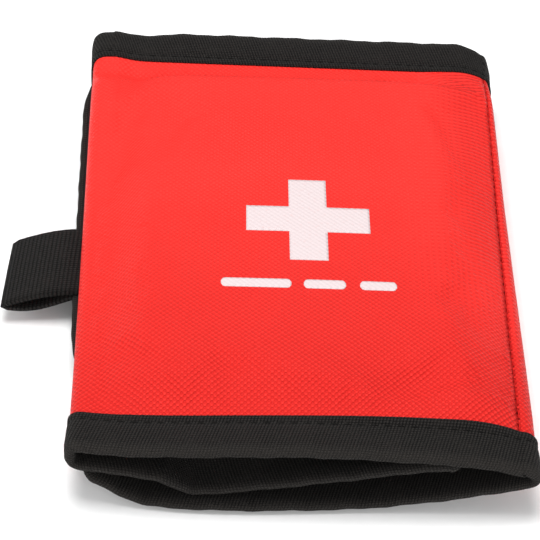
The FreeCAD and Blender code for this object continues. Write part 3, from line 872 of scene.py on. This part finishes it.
def bar_print(round_mm=1.1, step=0.5):
    """Three plain bars with round corners, which stand for the line of print."""
    low, high = corners("printed_bars")
    width, half = high[0] - low[0], (high[1] - low[1]) / 2
    shape = Shape()
    for start, end in BARS:
        left, right = low[0] + start * width, low[0] + end * width
        x = spaced(left, right, step)
        from_end = np.clip(np.minimum(x - left, right - x), 0, round_mm)
        reach = half - round_mm + np.sqrt(round_mm ** 2 - (round_mm - from_end) ** 2)
        x, t = np.meshgrid(x, np.linspace(-1, 1, 7))
        y = (low[1] + high[1]) / 2 + t * reach[None, :]
        shape.grid(laid_on_cover(x, y), np.stack([x, y], -1) * MM, flip=True)
    printed("bar_print", "printed_bars", shape)


cross_print()
bar_print()


# ---------------------------------------------------------------- pull loop
def pull_loop():
    """A loop of webbing: its upper layer arches, its lower one hangs, and both droop toward its tip."""
    low, high = corners("pull_loop")
    width = high[1] - low[1]
    middle = (low[1] + high[1]) / 2 + 0.9
    sewn_in, past_tip = 3.0, 2.5
    half = 14
    t = np.concatenate([np.linspace(0, 1, half), np.linspace(1, 0, half)[1:]])
    side = np.concatenate([np.ones(half), -np.ones(half - 1)])
    x = high[0] + sewn_in - (high[0] - low[0] + past_tip + sewn_in) * t
    arch, hang = 0.9 * np.sin(math.pi * t ** 0.8), 2.6 * np.sin(math.pi * t ** 1.3)
    half_gap = 0.75 + np.where(side > 0, arch, hang)
    round_tip = np.sqrt(np.clip(np.where(t > 0.93, (1 - t) / 0.07, 1.0), 0, 1))
    droop = 3.4 * t ** 1.6
    z = 8.6 - droop + side * half_gap * round_tip
    across = np.linspace(-0.5, 0.5, 15)[:, None]
    to_near = 1.7 * t[None, :]
    slant = 1.3 * (across + 0.5) * t[None, :]
    bow = 0.35 * np.cos(across * math.pi)
    points = np.stack([x[None, :] + slant, middle + across * width - to_near, z[None, :] + bow], -1)
    loop = Shape().grid(points).piece("webbing_loop", WEBBING)
    settle(thicken(loop, 1.1), FLAP, ["pull_loop"])


pull_loop()


# ---------------------------------------------------------------- contents
def pack(shape, low, high, edge=3.0, crimp=0.25, wrinkle=0.25, seed=0.0, step=2.0):
    """A soft pack that fills a box: crowned over its contents, thin at its pressed edge."""
    size = high - low
    u = np.linspace(-1, 1, max(8, int(size[0] / step)))
    v = np.linspace(-1, 1, max(8, int(size[1] / step)))
    x, y = np.meshgrid(low[0] + (u + 1) / 2 * size[0], low[1] + (v + 1) / 2 * size[1])
    fat = crimp + (1 - crimp) * shoulder(inside_edge(x, y, low, high) / edge, 2.4)
    half = size[2] / 2 * fat * (1 - wrinkle * ripples(x, y, 7, seed, seed))
    middle = (low[2] + high[2]) / 2
    top = np.stack([x, y, middle + half], -1)
    bottom = np.stack([x, y, middle - half], -1)
    shape.grid(top, flip=True)
    shape.grid(bottom)
    for a, b, turned in ((top[0], bottom[0], True), (top[-1], bottom[-1], False),
                         (top[:, 0], bottom[:, 0], False), (top[:, -1], bottom[:, -1], True)):
        shape.grid(np.stack([a, b]), flip=turned)


def inside_edge(x, y, low, high):
    """How far inside a rectangle each point lies."""
    return np.minimum(np.minimum(x - low[0], high[0] - x), np.minimum(y - low[1], high[1] - y))


def ripples(x, y, size_mm, shift, layer):
    """Smooth noise between 0 and about 1, in waves of some millimetres."""
    return np.abs([[noise.noise(Vector((a / size_mm + shift, b / size_mm, layer))) for a in x[0]]
                   for b in y[:, 0]])


def packs(name, node, body, slot_name, material, columns=1, rows=1, layers=1, gap=1.5, press=0.0,
          **shape_of):
    """Packs side by side or in loose layers, which together fill a CAD node's box."""
    low, high = corners(node)
    high[2] -= press
    shape = Shape()
    count = np.array([columns, rows, layers])
    spacing = np.array([gap, gap, 0.05])
    size = (high - low - (count - 1) * spacing) / count
    for place in np.ndindex(*count):
        nudge = 0.5 * np.sin(np.array([2.0, 3.1, 0]) * place[2]) * np.array([1, 1, 0])
        start = low + np.array(place) * (size + spacing) + nudge
        seed = place[0] * 3.7 + place[1] * 1.9 + place[2] * 0.7 + len(name)
        pack(shape, start, start + size, seed=seed, **shape_of)
    return settle(shape.piece(name, material), body, [node])


UNDER_CROWN = 2.4  # how far the thick packs are pressed down by the cover's sloping crown
roll = packs("rolled_gauze_bandage", "gauze_bandage", COVER, "gauze", GAUZE,
             press=UNDER_CROWN, edge=6, crimp=0.35)
triangle = packs("folded_triangular_bandage", "triangular_bandage", COVER, "wrapped_cloth", WRAP,
                 press=UNDER_CROWN, edge=4, crimp=0.5)
blanket = packs("folded_foil_blanket", "foil_blanket", COVER, "silver_foil", FOIL,
                press=UNDER_CROWN, edge=4, crimp=0.45, wrinkle=0.6, step=1.2)
gloves = packs("folded_gloves", "gloves_pack", COVER, "clear_bag", BAG, edge=5, crimp=0.3, wrinkle=0.5)
pads = packs("pressed_gauze_pads", "gauze_pads", COVER, "gauze", GAUZE, edge=2, crimp=0.5, rows=2)
packs("wipe_sachets", "alcohol_wipes", FLAP, "foil_sachet", SACHET, layers=2, edge=6, crimp=0.15, step=1.5)
packs("plaster_strips", "adhesive_plasters", FLAP, "paper", PLASTER,
      columns=2, layers=4, gap=2.0, edge=4, crimp=0.3, step=1.5)
packs("folded_leaflet", "leaflet", INNER, "paper", PAPER, edge=1, crimp=0.8, wrinkle=0.1)
packs("hook_patch", "hook_strip", FLAP, "hook_tape", HOOK, edge=1, crimp=0.6, wrinkle=0.05)
packs("loop_patch", "loop_strip", INNER, "loop_tape", LOOP, edge=1.5, crimp=0.4, wrinkle=0.1)
for panel, body in (("cover", COVER), ("inner", INNER), ("flap", FLAP)):
    packs(f"{panel}_pocket_edge", f"{panel}_pocket_trim", body, "black_tape", BLACK,
          edge=1.2, crimp=0.4, wrinkle=0.1)


def clear_pocket(name, node, body, away):
    """A pocket of clear film: welded flat round its edge, bulging over what it holds."""
    low, high = corners(node)
    x, y = np.meshgrid(spaced(low[0], high[0], 2.0), spaced(low[1], high[1], 2.0))
    from_edge = inside_edge(x, y, low, high)
    bulge = shoulder(from_edge / 4, 2.0) * (1 - 0.08 * ripples(x, y, 14, 0.0, 2.0))
    weld = 0.12 * np.sin(np.clip(from_edge, 0, 2) * math.pi)
    seat, top = (low[2], high[2]) if away > 0 else (high[2], low[2])
    z = seat + (top - seat) * (0.06 + 0.92 * bulge) + weld
    shape = Shape().grid(np.stack([x, y, z], -1), flip=away > 0)
    film = settle(thicken(shape.piece(name, CLEAR), 0.25), body, [node])


clear_pocket("cover_film_pocket", "cover_clear_pocket", COVER, -1)
clear_pocket("inner_film_pocket", "inner_clear_pocket", INNER, 1)
clear_pocket("flap_film_pocket", "flap_clear_pocket", FLAP, 1)

BARE = {
    STEEL: ("scissors_lower_blade", "scissors_upper_blade", "scissors_rivet", "tweezers", "safety_pins"),
    PLASTIC: ("scissors_lower_handle", "scissors_upper_handle"),
}
for material, nodes in BARE.items():
    for node in nodes:
        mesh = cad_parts[node].data
        mesh.materials.clear()
        mesh.materials.append(material)


# ---------------------------------------------------------------- floor, light and camera
floor_look = speckled("studio_floor", rgb(0.93, 0.93, 0.93), rgb(0.96, 0.96, 0.96), 4.0, 0.0, 0.9)
ends = np.array([-900.0, 900.0])
corner_x, corner_y = np.meshgrid(ends, ends, indexing="ij")
floor = Shape().grid(np.stack([corner_x, corner_y, 0 * corner_x], -1)).piece("floor", floor_look)

world = bpy.data.worlds.new("studio")
bpy.context.scene.world = world
world.use_nodes = True
world.node_tree.nodes["Background"].inputs["Color"].default_value = rgb(1.0, 1.0, 1.0)
world.node_tree.nodes["Background"].inputs["Strength"].default_value = 0.4


def softbox(name, place, target, size, watts):
    light = bpy.data.lights.new(name, "AREA")
    light.shape = "RECTANGLE"
    light.size, light.size_y = size
    light.energy = watts
    lamp = bpy.data.objects.new(name, light)
    lamp.location = place
    lamp.rotation_euler = (Vector(target) - Vector(place)).to_track_quat("-Z", "Y").to_euler()
    bpy.context.scene.collection.objects.link(lamp)


softbox("softbox_top", (-0.1, 0.08, 0.9), (0, 0, 0), (0.5, 0.5), 7.6)
softbox("softbox_front", (0.1, -0.8, 0.45), (0, 0, 0), (0.9, 0.4), 3.8)
softbox("softbox_left", (-0.9, -0.1, 0.5), (0, 0, 0), (0.6, 0.6), 2.0)


PITCH, YAW, ROLL = 41.2, -2.7, 3.4  # the camera's angles, in degrees
AIM = Vector((-0.0061, 0.0045, 0))  # the point it looks at, in metres
DISTANCE = 0.606
LENS, SENSOR = 151.4, 36.0


def photo_camera():
    pitch, yaw, roll = math.radians(PITCH), math.radians(YAW), math.radians(ROLL)
    back = Vector((math.sin(yaw) * math.cos(pitch), -math.cos(yaw) * math.cos(pitch), math.sin(pitch)))
    level = Vector((0, 0, 1)).cross(back).normalized()
    upright = back.cross(level)
    right = math.cos(roll) * level + math.sin(roll) * upright
    up = back.cross(right)
    place = AIM + back * DISTANCE
    data = bpy.data.cameras.new("camera")
    data.lens, data.sensor_width = LENS, SENSOR
    camera = bpy.data.objects.new("camera", data)
    camera.matrix_world = Matrix.Translation(place) @ Matrix((right, up, back)).transposed().to_4x4()
    bpy.context.scene.collection.objects.link(camera)
    bpy.context.scene.camera = camera


photo_camera()
bpy.context.scene.view_settings.view_transform = "Standard"

bpy.context.view_layer.update()
